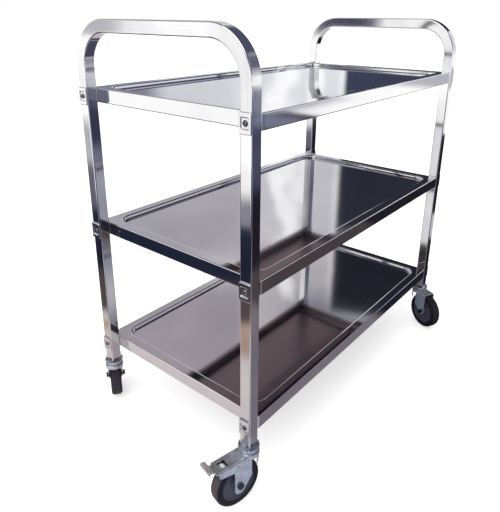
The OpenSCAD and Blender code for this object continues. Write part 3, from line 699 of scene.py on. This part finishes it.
@dataclass
class Studio:
    """The floor, the soft light, the surroundings that the steel mirrors, and the camera."""

    floor_size: float = 40.0
    # What the floor adds to its lit colour for the camera, so that it shows white
    floor_glow: float = 0.5
    # How far the edges of the mirrored floor patches wander
    mat_wander: float = 0.07
    # How bright the white surroundings are to the steel, which the photograph overexposes
    white: float = 1.4
    # Where the room is brightest, and how bright its dark and its light side are
    lit_from: Point = (-0.80, 0.30, 0.52)
    levels: Span = (0.3, 1.4)
    # How far the mirrored room's brightness varies
    clouds: Span = (0.94, 1.06)
    lamp_at: Point = (-2.2, -0.4, 3.2)
    lamp_aim: Point = (0.0, 0.0, 0.4)
    lamp_size: float = 3.0
    lamp_watts: float = 40.0
    camera_at: Point = (-1.043736, -0.724872, 0.911403)
    azimuth: float = -50.766
    elevation: float = 19.726
    roll: float = 0.398
    sensor_mm: float = 36.0
    focal_px: float = 527.064
    centre_px: Span = (250.872, 202.134)
    frame_px: tuple[int, int] = (500, 512)

    def build(self) -> None:
        """Sets the stage."""
        self.view()
        self.surroundings()
        self.floor()
        self.lamp()

    def view(self) -> None:
        """Makes the camera that sees the trolley as the photograph does."""
        around, up = math.radians(self.azimuth), math.radians(self.elevation)
        back = Vector((
            math.sin(around) * math.cos(up), -math.cos(around) * math.cos(up), math.sin(up)))
        level_right = Vector((math.cos(around), math.sin(around), 0.0))
        level_up = back.cross(level_right)
        tilt = math.radians(self.roll)
        right = level_right * math.cos(tilt) + level_up * math.sin(tilt)
        upward = back.cross(right)
        camera = bpy.data.cameras.new("camera")
        long_side = max(self.frame_px)
        camera.sensor_width = self.sensor_mm
        camera.lens = self.focal_px / long_side * camera.sensor_width
        camera.shift_x = (self.frame_px[0] / 2 - self.centre_px[0]) / long_side
        camera.shift_y = (self.centre_px[1] - self.frame_px[1] / 2) / long_side
        camera.clip_start, camera.clip_end = 0.05, 100.0
        holder = bpy.data.objects.new("camera", camera)
        turn = Matrix((right, upward, back)).transposed().to_4x4()
        holder.matrix_world = Matrix.Translation(self.camera_at) @ turn
        bpy.context.scene.collection.objects.link(holder)
        bpy.context.scene.camera = holder

    def surroundings(self) -> None:
        """Makes the world: white to the camera, plain to dull surfaces, a room to the steel."""
        world = bpy.data.worlds.new("studio")
        bpy.context.scene.world = world
        world.use_nodes = True
        tree = world.node_tree
        tree.nodes.clear()
        seen = add_node(tree, "LightPath").outputs
        way = add_node(tree, "TexCoord").outputs["Generated"]
        light = add_node(tree, "Mix", {"data_type": "RGBA"}, {
            "Factor": seen["Is Glossy Ray"], COLOUR_A: self.daylight(tree, way),
            COLOUR_B: self.room(tree, way)}).outputs[MIXED_COLOUR]
        light = add_node(tree, "Mix", {"data_type": "RGBA"}, {
            "Factor": seen["Is Camera Ray"], COLOUR_A: light, COLOUR_B: linear("#ffffff"),
        }).outputs[MIXED_COLOUR]
        background = add_node(
            tree, "Background", inputs={"Color": light, "Strength": 1.0}).outputs[0]
        add_node(tree, "OutputWorld", inputs={"Surface": background})

    def room(self, tree: NodeTree, way: Socket) -> Socket:
        """Makes the room that the steel mirrors.

        Args:
            tree: the world's node tree.
            way: the direction that a ray looks in.

        Returns:
            The light from that direction.
        """
        x, y, z = add_node(tree, "SeparateXYZ", inputs={0: way}).outputs
        around = add_node(tree, "Math", {"operation": "ARCTAN2"}, {0: y, 1: x}).outputs[0]
        around = add_node(tree, "Math", {"operation": "DEGREES"}, {0: around}).outputs[0]
        height = add_node(tree, "Math", {"operation": "ARCSINE"}, {0: z}).outputs[0]
        height = add_node(tree, "Math", {"operation": "DEGREES"}, {0: height}).outputs[0]
        walls = self.cards(tree, bright("#fefefd", self.white), around, height, WALL_CARDS)
        wobble = add_node(
            tree, "TexNoise", inputs={"Vector": way, "Scale": 7.0, "Detail": 3.0}).outputs["Fac"]
        cloud = add_node(tree, "MapRange", inputs={
            "Value": wobble, "From Min": 0.35, "From Max": 0.7,
            "To Min": self.clouds[0], "To Max": self.clouds[1]}).outputs[0]
        return add_node(
            tree, "VectorMath", {"operation": "SCALE"}, {0: walls, "Scale": cloud}).outputs[0]

    def daylight(self, tree: NodeTree, way: Socket) -> Socket:
        """Makes the light that falls on dull surfaces, stronger from one side of the room.

        Args:
            tree: the world's node tree.
            way: the direction that a ray looks in.

        Returns:
            The light from that direction.
        """
        aside = add_node(
            tree, "VectorMath", {"operation": "DOT_PRODUCT"}, {0: way, 1: self.lit_from}
        ).outputs["Value"]
        level = add_node(tree, "MapRange", inputs={
            "Value": aside, "From Min": -0.8, "From Max": 0.9,
            "To Min": self.levels[0], "To Max": self.levels[1]}).outputs[0]
        return add_node(
            tree, "VectorMath", {"operation": "SCALE"},
            {0: linear("#f2f2f2")[:3], "Scale": level}).outputs[0]

    @staticmethod
    def cards(
        tree: NodeTree, ground: Colour, u: Socket, v: Socket, cards: Sequence[Card]
    ) -> Socket:
        """Lays soft-edged cards over a plain ground, the later ones over the earlier.

        Args:
            tree: the node tree that it is made in.
            ground: the colour beside the cards.
            u: the place's first coordinate.
            v: the place's second coordinate.
            cards: the cards.

        Returns:
            The colour of the ground and the cards.
        """
        colour: Colour | Socket = ground
        place = add_node(tree, "CombineXYZ", inputs={0: u, 1: v}).outputs[0]
        ripples = add_node(tree, "TexNoise", inputs={
            "Vector": place, "Scale": 0.25, "Detail": 1.5}).outputs["Fac"]
        ripples = add_node(
            tree, "Math", {"operation": "SUBTRACT"}, {0: ripples, 1: 0.5}).outputs[0]
        for card in cards:
            colour = add_node(tree, "Mix", {"data_type": "RGBA"}, {
                "Factor": card.mask(tree, u, v, ripples), COLOUR_A: colour,
                COLOUR_B: bright(card.colour, card.glow)}).outputs[MIXED_COLOUR]
        return colour

    def floor(self) -> None:
        """Lays the pale floor: white to the camera, matt to dull surfaces, patterned to the steel.

        The pattern holds floor coverings, and painted shade close in front of the trolley.
        """
        half = self.floor_size / 2
        mesh = bpy.data.meshes.new("floor")
        mesh.from_pydata(
            [(-half, -half, 0), (half, -half, 0), (half, half, 0), (-half, half, 0)],
            [], [(0, 1, 2, 3)])
        floor = bpy.data.objects.new("floor", mesh)
        bpy.context.scene.collection.objects.link(floor)
        material, tree = new_material("pale_studio_floor")
        seen = add_node(tree, "LightPath").outputs
        matt = add_node(tree, "BsdfDiffuse", inputs={"Color": linear("#f4f4f4")}).outputs[0]
        glow = add_node(tree, "Emission", inputs={
            "Color": linear("#ffffff"), "Strength": self.floor_glow}).outputs[0]
        shown = add_node(tree, "AddShader", inputs={0: matt, 1: glow}).outputs[0]
        mats_and_shade = add_node(
            tree, "Emission", inputs={"Color": self.mats_and_shade(tree), "Strength": 1.0}).outputs[0]
        surface = add_node(
            tree, "MixShader", inputs={0: seen["Is Camera Ray"], 1: matt, 2: shown}).outputs[0]
        surface = add_node(
            tree, "MixShader", inputs={0: seen["Is Glossy Ray"], 1: surface, 2: mats_and_shade}
        ).outputs[0]
        add_node(tree, "OutputMaterial", inputs={"Surface": surface})
        material.cycles.emission_sampling = "NONE"
        mesh.materials.append(material)

    def mats_and_shade(self, tree: NodeTree) -> Socket:
        """Makes the floor coverings and the painted shade in front of the trolley, with wandering
        edges.

        Args:
            tree: the floor's node tree.

        Returns:
            The light that the steel sees from the floor.
        """
        place = add_node(tree, "TexCoord").outputs["Object"]
        wobble = add_node(tree, "TexNoise", inputs={
            "Vector": place, "Scale": 2.2, "Detail": 3.0}).outputs["Color"]
        reach, middle = self.mat_wander, self.mat_wander / 2
        moved = add_node(
            tree, "VectorMath", {"operation": "MULTIPLY_ADD"},
            {0: wobble, 1: (reach, reach, 0.0), 2: place}).outputs[0]
        moved = add_node(
            tree, "VectorMath", {"operation": "SUBTRACT"}, {0: moved, 1: (middle, middle, 0.0)}
        ).outputs[0]
        x, y, _ = add_node(tree, "SeparateXYZ", inputs={0: moved}).outputs
        return self.cards(tree, bright("#fffefc", self.white), x, y, FLOOR_CARDS)

    def lamp(self) -> None:
        """Hangs one wide soft lamp over the trolley."""
        lamp = bpy.data.lights.new("soft_lamp", "AREA")
        lamp.shape = "DISK"
        lamp.size = self.lamp_size
        lamp.energy = self.lamp_watts
        holder = bpy.data.objects.new("soft_lamp", lamp)
        holder.location = self.lamp_at
        aim = Vector(self.lamp_aim) - Vector(self.lamp_at)
        holder.rotation_euler = aim.to_track_quat("-Z", "Y").to_euler()
        bpy.context.scene.collection.objects.link(holder)


def main() -> None:
    """Builds the trolley's looks and its stage, in order."""
    logging.basicConfig(level=logging.INFO, format="%(name)s: %(message)s")
    bpy.context.scene.view_settings.view_transform = "Standard"
    finishes = Finishes()
    for side in Side:
        EndFrame(side).dress(finishes)
    for level in Level:
        TrayShelf(level).dress(finishes)
    for corner in Corner:
        Caster(corner).dress(finishes)
    Studio().build()


if __name__ == "__main__":
    main()
